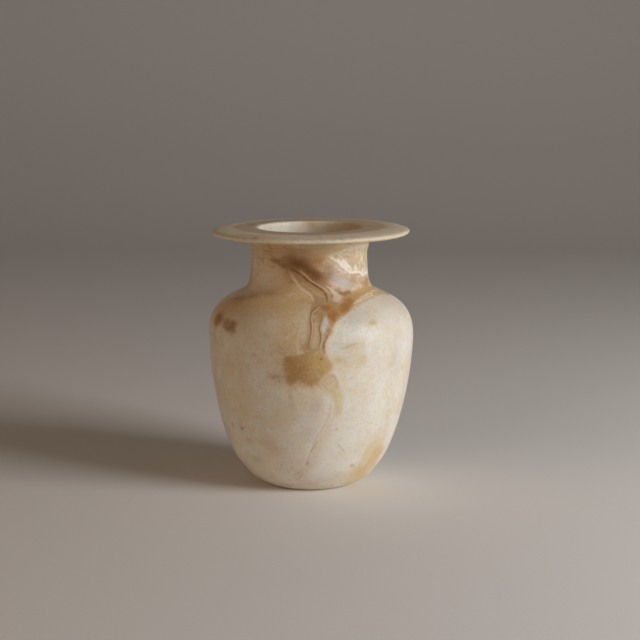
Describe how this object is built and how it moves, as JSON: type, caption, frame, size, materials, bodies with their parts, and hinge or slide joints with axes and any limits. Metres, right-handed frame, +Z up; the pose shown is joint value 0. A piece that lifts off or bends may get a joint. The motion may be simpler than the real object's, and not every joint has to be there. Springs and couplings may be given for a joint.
{
  "type": "alabaster vase",
  "caption": "Carved stone vase with a swelling body on a small foot, a short neck and a wide thin everted lip.",
  "frame": {"origin": "middle of the foot's underside, where the vase stands", "axes": "+Z up along the axis of turning; -Y is the side the picture shows"},
  "size_m": [0.1192, 0.1192, 0.15],
  "materials": {
    "alabaster": "worn satin polish, veined"
  },
  "bodies": {
    "root": {"vase": "alabaster"}
  },
  "joints": []
}
